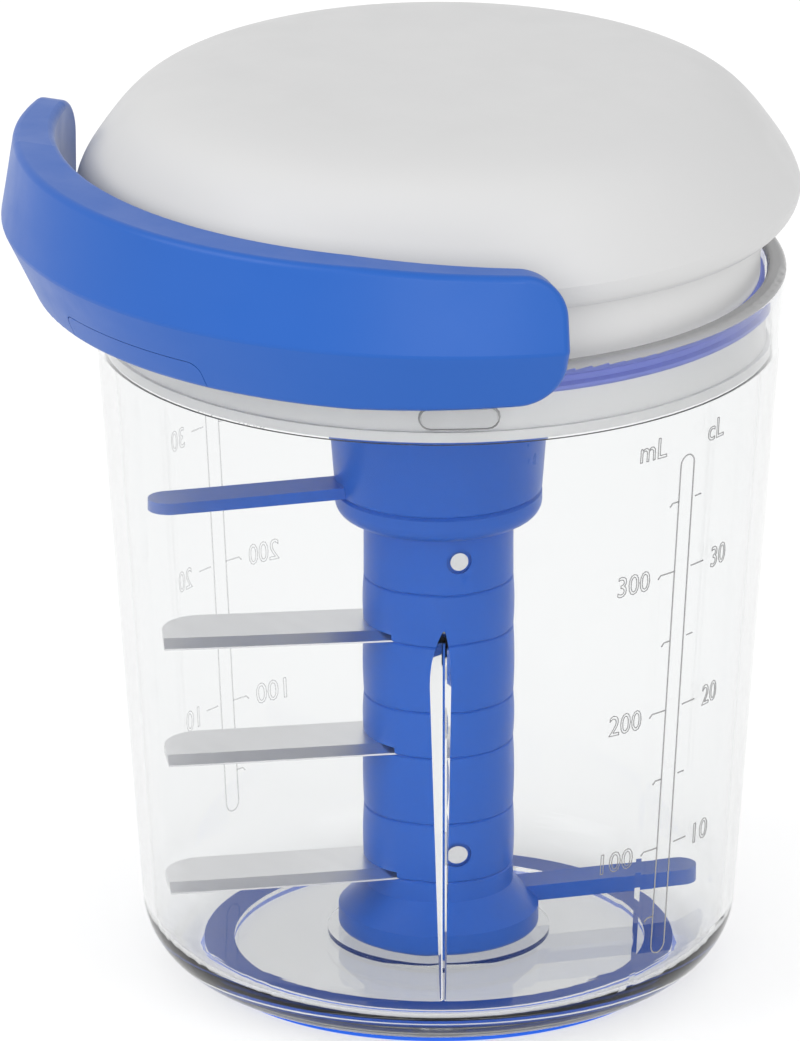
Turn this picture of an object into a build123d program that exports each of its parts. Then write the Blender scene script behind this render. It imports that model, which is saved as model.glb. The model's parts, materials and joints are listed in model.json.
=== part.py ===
from build123d import *
import os
from math import acos, cos, degrees, pi, radians, sin, tan

# Pull-cord food chopper: a clear bowl, a lift-out stack of three blades, and a lid whose handle
# pulls a cord off a sprung reel. Lengths are millimetres. The bowl stands on z = 0 and its axis
# is +Z; the handle is pulled along -Y. Angles are degrees from +X, seen from above.

os.makedirs("parts", exist_ok=True)

# ---- clearances ----
fit_gap = 0.03              # pieces of one body that plug into each other
running_gap = 0.06          # shaft in its bush
free_gap = 0.3              # surfaces of different bodies that pass each other
parting_gap = 0.10          # visible joint line round a plug-in cover

# ---- directions ----
rib_angle = -40.0           # ribs inside the bowl, and the one opposite
pad_angle = -37.6           # lozenge pads on the collar, and the one opposite
upper_arm_angle = -115.0
lower_arm_angle = 65.0
rivet_angle = -25.0
blade_angles = {"blade_lower": -119.5, "blade_middle": -121.0, "blade_upper": -124.0}

# ---- bowl ----
base_lift = 0.6             # underside above the tips of the foot ring
floor_thickness = 3.8
rim_z = 101.0
bowl_base_radius = 39.9     # outer wall line carried down to the underside
bowl_top_radius = 47.1      # outer wall line at the rim
bowl_corner_radius = 10.2
wall_at_foot = 1.35
wall_at_ledge = 3.2
rim_round = 0.9
inner_corner_radius = 6.0
ledge_depth = 11.0          # step in the bore below the rim
ledge_width = 0.5
boss_radius = 15.2
boss_height = 0.7
foot_ring_outer = 32.1
foot_ring_width = 4.1
foot_ring_height = 2.4
floor_z = base_lift + floor_thickness
ledge_z = rim_z - ledge_depth
inner_base_radius = bowl_base_radius - wall_at_foot
inner_top_radius = bowl_top_radius - wall_at_ledge
collar_bore_radius = inner_top_radius + ledge_width
boss_z = floor_z + boss_height
foot_ring_inner = foot_ring_outer - foot_ring_width

rib_setback = 0.2           # its ridge stands this far outside the wall line at the floor
rib_foot_setback = -0.3     # the same at its lower end
rib_nose = 0.3              # width of the rib at its ridge
rib_flank_angles = (30.5, 15.0)     # its two faces, one steeper than the other
rib_curve_height = 0.5      # a point of the curve to its upper end: how far up
rib_curve_out = 0.25        # and how far out
rib_below_rim = 38.0
rib_slope_height = 8.0      # its upper end leans out to the wall over this height
rib_above_floor = 4.4
rib_bite = 0.6              # depth of its root in the wall
rib_ridge_radius = inner_base_radius + rib_setback
rib_foot_radius = inner_base_radius + rib_foot_setback
rib_top_z = rim_z - rib_below_rim
rib_full_z = rib_top_z - rib_slope_height
rib_bottom_z = floor_z + rib_above_floor

pad_length = 10.8
pad_height = 3.3
pad_below_rim = 6.6
pad_proud = 0.5
pad_draft = 14.0
pad_z = rim_z - pad_below_rim

# ---- pivot pin in the bowl floor ----
pin_radius = 2.5
pin_seat = 1.4              # plastic left under its foot
pin_height = 22.0
pin_chamfer = 0.8
pin_foot_z = base_lift + pin_seat
pin_top_z = pin_foot_z + pin_height

# ---- blade stack, set by the floor below and the lid above ----
stack_clearance = 4.0       # between the top of the drive collar and the ledge
hub_height = 9.4
carrier_heights = (8.5, 6.5, 7.3)   # rings that hold a blade; plain spacers fill the rest
collar_neck_height = 8.7
cup_height = 20.8
hub_z = boss_z + free_gap
cup_top_z = ledge_z - stack_clearance
cup_foot_z = cup_top_z - cup_height
hub_seam_z = hub_z + hub_height
collar_seam_z = cup_foot_z - collar_neck_height
spacer_height = (collar_seam_z - hub_seam_z - sum(carrier_heights)) / 2
seam_zs = [hub_seam_z]
for height in (carrier_heights[0], spacer_height, carrier_heights[1], spacer_height):
    seam_zs.append(seam_zs[-1] + height)
seam_zs.append(collar_seam_z)

column_radius = 10.2
column_barrel = 0.15        # how far each segment swells at its middle
seam_chamfer = 0.22         # bevelled edges where two segments meet
flange_radius = 13.7
flange_band = 3.0
flange_cone_height = 6.6
hub_foot_round = 0.8
core_radius = 6.5
core_flats = 10.4
core_bore_radius = 4.5
core_foot_rise = 1.8        # above the underside of the hub
core_top_drop = 0.2         # below the foot of the cup
sleeve_height = 18.8
hub_pin_play = 0.4
rivet_radius = 1.25
lower_rivet_rise = 4.1      # above the hub's seam
upper_rivet_rise = 4.9      # above the drive collar's seam
rivet_recess_radius = 1.75
rivet_recess_depth = 0.5
core_foot_z = hub_z + core_foot_rise
core_top_z = cup_foot_z - core_top_drop
hub_pin_hole_radius = pin_radius + hub_pin_play
rivet_zs = (hub_seam_z + lower_rivet_rise, collar_seam_z + upper_rivet_rise)

blade_tip_gap = 0.8         # inside the wall line at the floor
blade_thickness = 1.0
blade_eye_radius = 8.4
blade_back = 4.0            # its back edge, behind the stack's axis
blade_front = 7.2
blade_tip_round = 5.5
blade_bevel_width = 2.2
blade_bevel_height = 0.8
blade_reach = inner_base_radius - blade_tip_gap

lower_arm_gap = 1.25        # inside the wall line at the floor
lower_arm_width = 5.0
lower_arm_thickness = 2.2
lower_arm_rise = 2.6        # above the underside of the hub
upper_arm_gap = 3.7         # inside the wall line at the ledge
upper_arm_width = 5.4
upper_arm_thickness = 1.6
upper_arm_rise = 4.0        # above the foot of the cup
lower_arm_z = hub_z + lower_arm_rise
lower_arm_reach = inner_base_radius - lower_arm_gap
upper_arm_z = cup_foot_z + upper_arm_rise
upper_arm_reach = inner_top_radius - upper_arm_gap

# ---- drive collar on top of the stack ----
cup_ring_radius = 14.1
cup_ring_height = 3.4
cup_groove_depth = 0.35
cup_lip_radius = 15.4
cup_foot_round = 2.2
cup_wall = 1.9
cup_floor_rise = 4.3        # heights, counted from the foot of the cup
socket_floor_rise = 1.3
socket_tower_rise = 16.8
socket_tower_radius = 9.2
drive_flats = 11.0          # hexagon of the drive dog, across flats
cup_groove_z = cup_foot_z + cup_ring_height
cup_floor_z = cup_foot_z + cup_floor_rise
socket_floor_z = cup_foot_z + socket_floor_rise
socket_tower_z = cup_foot_z + socket_tower_rise

# ---- lid ----
neck_play = 0.9             # between the neck and the bowl's bore
neck_wall = 2.8
neck_foot_height = 1.4
lid_floor_thickness = 2.3
seal_rise = 6.2             # above the foot of the neck
seal_height = 3.2
seal_depth = 1.4            # groove depth in the neck
neck_show = 7.9             # height of the neck between rim and brim
brim_flange_thickness = 1.5
brim_flange_inset = 0.6     # radii of the cover, counted from the bowl's rim
brim_lip_overhang = 0.2
brim_overhang = 1.8
shoulder_inset = 1.4
crown_inset = 6.2
brim_height = 3.4           # heights of the cover, counted from its lower edge
shoulder_height = 9.4
crown_height = 14.8
dome_height = 18.4
brim_bulge = 0.45           # swell of the underside beyond a straight slope
brim_way = (-0.27, 1.0)     # direction of the outline at the brim and at the crown
crown_way = (-0.81, 0.59)
dome_drop = 0.15            # fall of the dome at half its radius
cover_thickness = 2.2
neck_radius = collar_bore_radius - neck_play
neck_foot_radius = collar_bore_radius - free_gap
seal_outer_radius = collar_bore_radius - free_gap
neck_foot_z = ledge_z + free_gap
lid_floor_top = neck_foot_z + lid_floor_thickness
seal_z = neck_foot_z + seal_rise
brim_z = rim_z + neck_show
brim_flange_radius = bowl_top_radius - brim_flange_inset
brim_lip_radius = bowl_top_radius + brim_lip_overhang
brim_radius = bowl_top_radius + brim_overhang
shoulder_radius = bowl_top_radius - shoulder_inset
crown_radius = bowl_top_radius - crown_inset
brim_widest_z = brim_z + brim_height
shoulder_z = brim_z + shoulder_height
crown_z = brim_z + crown_height
top_z = brim_z + dome_height

post_inset = 9.5            # screw posts, counted from the neck
post_radius = 3.3
post_first_angle = 45.0
post_count = 4
post_foot_height = 3.6
screw_radius = 1.5
screw_head_radius = 2.8
screw_head_height = 1.8
screw_length = 13.0
post_circle_radius = neck_radius - post_inset
post_joint_z = lid_floor_top + post_foot_height

# ---- reel and cord ----
cord_radius = 0.9
cord_rise = 3.6             # above the brim's lower edge
reel_flange_radius = 22.0
reel_flange_thickness = 1.6
reel_core_radius = 12.2
reel_groove_width = 2.6
reel_hub_radius = 10.0
reel_window_count = 6
reel_window_radius = 1.6
reel_window_circle = 6.6
winding_depth = 5.6         # radial depth of the wound cord on the reel's core
winding_width = 2.0
guide_radius = 1.9
guide_play = 0.2
guide_inset = 5.1           # its inner end, counted from the brim
guide_entry_round = 0.3
lead_corner_inset = 7.9
lead_bend_radius = 12.0
cord_z = brim_z + cord_rise
guide_bore_radius = cord_radius + guide_play
winding_radius = reel_core_radius + winding_depth
groove_low = cord_z - reel_groove_width / 2
groove_high = cord_z + reel_groove_width / 2
reel_top_z = groove_high + reel_flange_thickness

# ---- drive spindle and bearings ----
spindle_radius = 4.0
spindle_end_radius = 3.0
spindle_shoulder_rise = 1.0     # above the retaining clip
bush_radius = 7.0
bush_flange_radius = 8.8
bush_flange_height = 1.3
floor_boss_radius = 9.0
top_bush_radius = 4.8
top_bush_height = 3.4
top_bush_gap = 0.6
cover_boss_radius = 7.5
dog_flange_radius = 8.4
dog_flange_height = 2.2
dog_foot_gap = 1.0
dog_floor = 1.5
clip_rise = 0.4             # above the reel
clip_thickness = 0.8
clip_radius = 6.2
clip_groove_radius = 3.4
clip_mouth = 4.0
dog_bottom_z = socket_floor_z + dog_foot_gap
spindle_foot_z = dog_bottom_z + dog_floor
clip_z = reel_top_z + clip_rise
spindle_shoulder_z = clip_z + clip_thickness + spindle_shoulder_rise
top_bush_z = spindle_shoulder_z + top_bush_gap
spindle_top_z = top_bush_z + top_bush_height

# ---- recoil spring ----
case_post_gap = 2.3         # between the case and the screw posts
case_wall = 1.3
case_floor = 1.2
spring_width = 6.0
spring_thickness = 0.5
spring_turns = 6
spring_arbor_gap = 0.35
arbor_radius = 9.0          # neck of the reel inside the spring
spring_cover_thickness = 1.2
half_strip = spring_thickness / 2
post_foot_radius = post_radius + neck_wall / 2
case_radius = post_circle_radius - post_foot_radius - case_post_gap
spring_inner_radius = arbor_radius + spring_arbor_gap + half_strip
spring_outer_radius = case_radius - case_wall - free_gap - half_strip
spring_pitch = (spring_outer_radius - spring_inner_radius) / spring_turns

# ---- handle ----
handle_clearance = 0.8      # between the brim and the middle of its inner face
handle_depth = 8.7          # thickness at its middle
handle_inner_arc = 58.4     # radius of the inner face in plan
handle_outer_ease = 2.9     # the outer face has a radius larger by this
handle_half_angle = 66.0
handle_crease_drop = 5.4    # heights, counted from the cord
handle_bottom_drop = 14.7
handle_bottom_end_drop = 13.6
handle_top_rise = 6.0
handle_top_end_rise = 4.8
handle_bottom_inset = 4.5   # lower outer edge inside the crease
handle_top_inset = 1.8      # outer edge of the top inside the crease
handle_end_round = 6.0
handle_end_taper = 26.0     # length over which the ends lose height
handle_edge_round = 1.0
inner_face_y = brim_radius + handle_clearance
handle_outer_arc = handle_inner_arc + handle_outer_ease
handle_inner_shift = handle_inner_arc - inner_face_y
handle_outer_shift = handle_outer_arc - inner_face_y - handle_depth
handle_crease_z = cord_z - handle_crease_drop
handle_bottom_z = cord_z - handle_bottom_drop
handle_bottom_end_z = cord_z - handle_bottom_end_drop
handle_top_z = cord_z + handle_top_rise
handle_top_end_z = cord_z + handle_top_end_rise

anchor_half_width = 13.6    # cover over the cord's end, under the middle of the handle
anchor_height = 3.8
anchor_corner = 1.6
peg_offset = 9.0
peg_inset = 2.3             # from the inner face
peg_radius = 1.0
peg_height = 4.0
pocket_half_width = 4.0
pocket_depth = 3.8
pocket_wall = 1.6           # between the inner face and the pocket
pocket_rise = 2.5           # above the cord
ferrule_radius = 1.9
ferrule_length = 3.2
anchor_z = handle_bottom_z + anchor_height
pocket_front_y = inner_face_y + pocket_wall
pocket_top_z = cord_z + pocket_rise


def turned(radius, angle):
    """The point at a radius and an angle about the bowl's axis."""
    return (radius * cos(radians(angle)), radius * sin(radians(angle)))


def inner_wall(z):
    """Radius of the bowl's inner wall at a height."""
    rise = (z - floor_z) / (ledge_z - floor_z)
    return inner_base_radius + (inner_top_radius - inner_base_radius) * rise


def outer_wall(z):
    """Radius of the bowl's outer wall at a height."""
    rise = (z - base_lift) / (rim_z - base_lift)
    return bowl_base_radius + (bowl_top_radius - bowl_base_radius) * rise


# =====================================================================================
# Bowl
# =====================================================================================

rib_root_radius = inner_wall(rib_top_z) + rib_bite
rib_tip_radius = inner_wall(rib_top_z)
rib_curve_z = rib_full_z + rib_curve_height * rib_slope_height
rib_curve_radius = rib_ridge_radius + rib_curve_out * (rib_tip_radius - rib_ridge_radius)


def rib_corners(ridge_radius):
    """Plan of a rib that points along +X: a narrow ridge that widens to the wall."""
    depth = rib_root_radius - ridge_radius
    left, right = (rib_nose / 2 + depth * tan(radians(angle)) for angle in rib_flank_angles)
    return (
        (ridge_radius, -rib_nose / 2),
        (rib_root_radius, -left),
        (rib_root_radius, right),
        (ridge_radius, rib_nose / 2),
    )


# the ridge of a rib stands nearly upright while the wall leans away from it
with BuildPart() as rib:
    with BuildSketch(Plane.XY.offset(rib_bottom_z)):
        Polygon(*rib_corners(rib_foot_radius), align=None)
    with BuildSketch(Plane.XY.offset(rib_full_z)):
        Polygon(*rib_corners(rib_ridge_radius), align=None)
    loft(ruled=True)
    with BuildSketch(Plane.XY.offset(rib_full_z)):
        Polygon(*rib_corners(rib_ridge_radius), align=None)
    with BuildSketch(Plane.XY.offset(rib_curve_z)):
        Polygon(*rib_corners(rib_curve_radius), align=None)
    with BuildSketch(Plane.XY.offset(rib_top_z)):
        Polygon(*rib_corners(rib_tip_radius), align=None)
    loft()
    # its root ends inside the wall
    with BuildSketch(Plane.XZ):
        with BuildLine():
            Polyline(
                (0, rib_bottom_z),
                (inner_wall(rib_bottom_z) + rib_bite, rib_bottom_z),
                (inner_wall(rib_top_z) + rib_bite, rib_top_z),
                (0, rib_top_z),
                close=True,
            )
        make_face()
    revolve(axis=Axis.Z, mode=Mode.INTERSECT)

pad_root_radius = (collar_bore_radius + outer_wall(pad_z)) / 2

with BuildPart() as bowl:
    with BuildSketch(Plane.XZ):
        with BuildLine():
            outside = FilletPolyline(
                (0, base_lift),
                (bowl_base_radius, base_lift),
                (bowl_top_radius, rim_z),
                radius=bowl_corner_radius,
            )
            rim = Line(outside @ 1, (collar_bore_radius, rim_z))
            bore = Line(rim @ 1, (collar_bore_radius, ledge_z))
            ledge = Line(bore @ 1, (inner_top_radius, ledge_z))
            inside = FilletPolyline(
                ledge @ 1,
                (inner_base_radius, floor_z),
                (boss_radius, floor_z),
                radius=inner_corner_radius,
            )
            Polyline(inside @ 1, (boss_radius, boss_z), (0, boss_z), (0, base_lift))
        make_face()
    revolve(axis=Axis.Z)
    for side in (0, 180):
        add(rib.part.rotate(Axis.Z, rib_angle + side))
    # lozenge pads on the collar
    for side in (0, 180):
        pad_out = Vector(*turned(1, pad_angle + side), 0)
        pad_plane = Plane(
            origin=pad_out * pad_root_radius + Vector(0, 0, pad_z),
            x_dir=Vector(0, 0, 1).cross(pad_out),
            z_dir=pad_out,
        )
        with BuildSketch(pad_plane):
            SlotOverall(pad_length, pad_height)
        extrude(amount=outer_wall(pad_z) + pad_proud - pad_root_radius, taper=pad_draft)
    # groove for the foot ring and socket for the pivot pin
    with BuildSketch(Plane.XY):
        Circle(foot_ring_outer + fit_gap)
        Circle(foot_ring_inner - fit_gap, mode=Mode.SUBTRACT)
    extrude(amount=foot_ring_height + fit_gap, mode=Mode.SUBTRACT)
    with BuildSketch(Plane.XY.offset(pin_foot_z)):
        Circle(pin_radius)
    extrude(amount=floor_z, mode=Mode.SUBTRACT)
    fillet(
        bowl.edges().filter_by(GeomType.CIRCLE).group_by(Axis.Z)[-1],
        radius=rim_round,
    )
bowl.part.label = "bowl"
export_step(bowl.part, "parts/bowl.step")

with BuildPart() as foot_ring:
    with BuildSketch(Plane.XY):
        Circle(foot_ring_outer)
        Circle(foot_ring_inner, mode=Mode.SUBTRACT)
    extrude(amount=foot_ring_height)
foot_ring.part.label = "foot_ring"
export_step(foot_ring.part, "parts/foot_ring.step")

with BuildPart() as pivot_pin:
    with BuildSketch(Plane.XY.offset(pin_foot_z)):
        Circle(pin_radius)
    extrude(amount=pin_top_z - pin_foot_z)
    chamfer(pivot_pin.edges().group_by(Axis.Z)[-1], length=pin_chamfer)
pivot_pin.part.label = "pivot_pin"
export_step(pivot_pin.part, "parts/pivot_pin.step")

# =====================================================================================
# Blade stack
# =====================================================================================


def core_outline(gap):
    """Double-D section that keys the stack together, grown by a gap."""
    Circle(core_radius + gap)
    Rectangle(4 * core_radius, core_flats + 2 * gap, mode=Mode.INTERSECT)


def blade_outline(gap):
    """Blade in plan, pointing along its own +X with its cutting edge on +Y, grown by a gap."""
    Circle(blade_eye_radius + gap)
    with Locations((blade_reach / 2, (blade_front - blade_back) / 2)):
        Rectangle(blade_reach, blade_front + blade_back + 2 * gap)


def make_rivet_cutter(height):
    """Rivet hole through the column, with a shallow recess at each end."""
    with BuildPart() as cutter:
        for side in (0, 180):
            out = turned(1, rivet_angle + side)
            hole_plane = Plane(origin=(0, 0, height), x_dir=(0, 0, 1), z_dir=(*out, 0))
            with BuildSketch(hole_plane):
                Circle(rivet_radius)
            extrude(amount=2 * column_radius)
            with BuildSketch(hole_plane.offset(column_radius - rivet_recess_depth)):
                Circle(rivet_recess_radius)
            extrude(amount=column_radius)
    return cutter.part


rivet_cutters = {height: make_rivet_cutter(height) for height in rivet_zs}

with BuildPart() as core_tube:
    with BuildSketch(Plane.XY.offset(core_foot_z)):
        core_outline(0)
        Circle(core_bore_radius, mode=Mode.SUBTRACT)
    extrude(amount=core_top_z - core_foot_z)
    for cutter in rivet_cutters.values():
        add(cutter, mode=Mode.SUBTRACT)
core_tube.part.label = "core_tube"
export_step(core_tube.part, "parts/core_tube.step")

with BuildPart() as pivot_sleeve:
    with BuildSketch(Plane.XY.offset(core_foot_z)):
        Circle(core_bore_radius - fit_gap)
        Circle(pin_radius + running_gap, mode=Mode.SUBTRACT)
    extrude(amount=sleeve_height)
    add(rivet_cutters[rivet_zs[0]], mode=Mode.SUBTRACT)
pivot_sleeve.part.label = "pivot_sleeve"
export_step(pivot_sleeve.part, "parts/pivot_sleeve.step")

with BuildPart() as lower_hub:
    with BuildSketch(Plane.XZ):
        with BuildLine():
            Polyline(
                (0, hub_z),
                (flange_radius, hub_z),
                (flange_radius, hub_z + flange_band),
                (column_radius, hub_z + flange_cone_height),
                (column_radius, hub_seam_z - seam_chamfer),
                (column_radius - seam_chamfer, hub_seam_z),
                (0, hub_seam_z),
                close=True,
            )
        make_face()
    revolve(axis=Axis.Z)
    with BuildSketch(Plane.XY.rotated((0, 0, lower_arm_angle)).offset(lower_arm_z)):
        with Locations(((lower_arm_reach - lower_arm_width / 2) / 2, 0)):
            Rectangle(lower_arm_reach - lower_arm_width / 2, lower_arm_width)
        with Locations((lower_arm_reach - lower_arm_width / 2, 0)):
            Circle(lower_arm_width / 2)
    extrude(amount=lower_arm_thickness)
    with BuildSketch(Plane.XY.offset(hub_z)):
        Circle(hub_pin_hole_radius)
    extrude(amount=hub_seam_z, mode=Mode.SUBTRACT)
    with BuildSketch(Plane.XY.offset(core_foot_z)):
        core_outline(fit_gap)
    extrude(amount=hub_seam_z, mode=Mode.SUBTRACT)
    fillet(lower_hub.edges().group_by(Axis.Z)[0].sort_by(SortBy.LENGTH)[-1], radius=hub_foot_round)
lower_hub.part.label = "lower_hub"
export_step(lower_hub.part, "parts/lower_hub.step")


def make_segment(label, low, high, rivet_z, blade):
    """One barrelled ring of the column, with a pocket below for a blade and a rivet hole."""
    with BuildPart() as segment:
        with BuildSketch(Plane.XZ):
            with BuildLine():
                side = ThreePointArc(
                    (column_radius, low + seam_chamfer),
                    (column_radius + column_barrel, (low + high) / 2),
                    (column_radius, high - seam_chamfer),
                )
                Polyline(
                    side @ 1,
                    (column_radius - seam_chamfer, high),
                    (0, high),
                    (0, low),
                    (column_radius - seam_chamfer, low),
                    side @ 0,
                )
            make_face()
        revolve(axis=Axis.Z)
        with BuildSketch(Plane.XY.offset(low)):
            core_outline(fit_gap)
        extrude(amount=high - low, mode=Mode.SUBTRACT)
        if blade:
            with BuildSketch(Plane.XY.rotated((0, 0, blade_angles[blade])).offset(low)):
                blade_outline(fit_gap)
            extrude(amount=blade_thickness, mode=Mode.SUBTRACT)
        if rivet_z:
            add(rivet_cutters[rivet_z], mode=Mode.SUBTRACT)
    segment.part.label = label
    export_step(segment.part, f"parts/{label}.step")


make_segment("rivet_collar", hub_seam_z, seam_zs[1], rivet_zs[0], "blade_lower")
make_segment("spacer_low", seam_zs[1], seam_zs[2], None, None)
make_segment("spacer_middle", seam_zs[2], seam_zs[3], None, "blade_middle")
make_segment("spacer_high", seam_zs[3], seam_zs[4], None, None)
make_segment("spacer_top", seam_zs[4], collar_seam_z, None, "blade_upper")

blade_heights = {
    "blade_lower": hub_seam_z,
    "blade_middle": seam_zs[2],
    "blade_upper": seam_zs[4],
}


def make_blade(label):
    """A flat blade with an eye on the core, a bevelled edge in front and a rounded back corner."""
    plane = Plane.XY.rotated((0, 0, blade_angles[label])).offset(blade_heights[label])
    with BuildPart() as blade:
        with BuildSketch(plane):
            blade_outline(0)
            back_corner = blade_reach - blade_tip_round
            with Locations((blade_reach, -blade_back)):
                Rectangle(2 * blade_tip_round, 2 * blade_tip_round, mode=Mode.SUBTRACT)
            with Locations((back_corner, blade_tip_round - blade_back)):
                Circle(blade_tip_round)
        extrude(amount=blade_thickness)
        with BuildSketch(Plane(plane.origin, x_dir=plane.y_dir, z_dir=plane.x_dir)):
            with BuildLine():
                Polyline(
                    (blade_front + parting_gap, blade_thickness - blade_bevel_height),
                    (blade_front + parting_gap, 2 * blade_thickness),
                    (blade_front - blade_bevel_width, 2 * blade_thickness),
                    (blade_front - blade_bevel_width, blade_thickness),
                    close=True,
                )
            make_face()
        extrude(amount=2 * blade_reach, mode=Mode.SUBTRACT)
        with BuildSketch(Plane.XY.offset(blade_heights[label])):
            core_outline(fit_gap)
        extrude(amount=blade_thickness, mode=Mode.SUBTRACT)
    blade.part.label = label
    export_step(blade.part, f"parts/{label}.step")


for blade_name in blade_heights:
    make_blade(blade_name)

socket_circle = (drive_flats / 2 + free_gap) / cos(pi / 6)

with BuildPart() as drive_collar:
    with BuildSketch(Plane.XZ):
        with BuildLine():
            Polyline(
                (0, collar_seam_z),
                (column_radius - seam_chamfer, collar_seam_z),
                (column_radius, collar_seam_z + seam_chamfer),
                (column_radius, cup_foot_z),
                (cup_ring_radius, cup_foot_z),
                (cup_ring_radius, cup_groove_z),
                (cup_ring_radius - cup_groove_depth, cup_groove_z + cup_groove_depth),
                (cup_ring_radius, cup_groove_z + 2 * cup_groove_depth),
                (cup_lip_radius, cup_top_z),
                (cup_lip_radius - cup_wall, cup_top_z),
                (cup_ring_radius - cup_wall, cup_floor_z),
                (socket_tower_radius, cup_floor_z),
                (socket_tower_radius, socket_tower_z),
                (0, socket_tower_z),
                close=True,
            )
        make_face()
    revolve(axis=Axis.Z)
    ring_bottom = drive_collar.edges().filter_by_position(
        Axis.Z, cup_foot_z - fit_gap, cup_foot_z + fit_gap
    )
    fillet(ring_bottom.sort_by(SortBy.RADIUS)[-1], radius=cup_foot_round)
    with BuildSketch(Plane.XY.rotated((0, 0, upper_arm_angle)).offset(upper_arm_z)):
        arm_start = cup_ring_radius - cup_wall / 2
        arm_end = upper_arm_reach - upper_arm_width / 2
        with Locations(((arm_start + arm_end) / 2, 0)):
            Rectangle(arm_end - arm_start, upper_arm_width)
        with Locations((arm_end, 0)):
            Circle(upper_arm_width / 2)
    extrude(amount=upper_arm_thickness)
    with BuildSketch(Plane.XY.offset(socket_floor_z)):
        RegularPolygon(socket_circle, 6)
    extrude(amount=socket_tower_z, mode=Mode.SUBTRACT)
    with BuildSketch(Plane.XY.offset(collar_seam_z)):
        core_outline(fit_gap)
    extrude(amount=core_top_z - collar_seam_z, mode=Mode.SUBTRACT)
    add(rivet_cutters[rivet_zs[1]], mode=Mode.SUBTRACT)
drive_collar.part.label = "drive_collar"
export_step(drive_collar.part, "parts/drive_collar.step")

pin_end_z = pin_top_z + free_gap

with BuildPart() as rivets:
    for height in rivet_zs:
        for side in (0, 180):
            out = turned(1, rivet_angle + side)
            hole_plane = Plane(origin=(0, 0, height), x_dir=(0, 0, 1), z_dir=(*out, 0))
            start = pin_radius + free_gap if height < pin_end_z else 0
            with BuildSketch(hole_plane.offset(start)):
                Circle(rivet_radius)
            extrude(amount=column_radius - start)
rivets.part.label = "rivets"
export_step(rivets.part, "parts/rivets.step")

# =====================================================================================
# Lid
# =====================================================================================

floor_boss_z = lid_floor_top + case_floor
neck_inner_radius = neck_radius - neck_wall
flange_top = brim_z + brim_flange_thickness
seal_inner_radius = neck_radius - seal_depth

with BuildPart() as lid_base:
    with BuildSketch(Plane.XZ):
        with BuildLine():
            Polyline(
                (bush_radius, neck_foot_z),
                (neck_foot_radius, neck_foot_z),
                (neck_foot_radius, neck_foot_z + neck_foot_height),
                (neck_radius, neck_foot_z + neck_foot_height),
                (neck_radius, seal_z),
                (seal_inner_radius, seal_z),
                (seal_inner_radius, seal_z + seal_height),
                (neck_radius, seal_z + seal_height),
                (neck_radius, brim_z),
                (brim_flange_radius, brim_z),
                (brim_flange_radius, flange_top),
                (neck_inner_radius, flange_top),
                (neck_inner_radius, lid_floor_top),
                (floor_boss_radius, lid_floor_top),
                (floor_boss_radius, floor_boss_z),
                (bush_radius, floor_boss_z),
                close=True,
            )
        make_face()
    revolve(axis=Axis.Z)
    with PolarLocations(post_circle_radius, post_count, start_angle=post_first_angle):
        with Locations((0, 0, lid_floor_top)):
            Cylinder(
                post_foot_radius,
                post_joint_z - lid_floor_top,
                align=(Align.CENTER, Align.CENTER, Align.MIN),
            )
        with Locations((0, 0, neck_foot_z)):
            Cylinder(
                screw_radius + free_gap,
                post_joint_z - neck_foot_z,
                align=(Align.CENTER, Align.CENTER, Align.MIN),
                mode=Mode.SUBTRACT,
            )
            Cylinder(
                screw_head_radius + free_gap,
                screw_head_height + free_gap,
                align=(Align.CENTER, Align.CENTER, Align.MIN),
                mode=Mode.SUBTRACT,
            )
lid_base.part.label = "lid_base"
export_step(lid_base.part, "parts/lid_base.step")

with BuildPart() as lid_seal:
    with BuildSketch(Plane.XZ):
        with BuildLine():
            lip = seal_height / 4
            Polyline(
                (seal_inner_radius, seal_z),
                (seal_outer_radius - lip / 2, seal_z),
                (seal_outer_radius, seal_z + lip / 2),
                (seal_outer_radius, seal_z + lip),
                (neck_radius, seal_z + 1.5 * lip),
                (neck_radius, seal_z + 2.5 * lip),
                (seal_outer_radius, seal_z + 3 * lip),
                (seal_outer_radius, seal_z + 3.5 * lip),
                (seal_outer_radius - lip / 2, seal_z + seal_height),
                (seal_inner_radius, seal_z + seal_height),
                close=True,
            )
        make_face()
    revolve(axis=Axis.Z)
lid_seal.part.label = "lid_seal"
export_step(lid_seal.part, "parts/lid_seal.step")

cover_bore = brim_flange_radius + fit_gap
inner_top_z = top_z - cover_thickness

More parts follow.
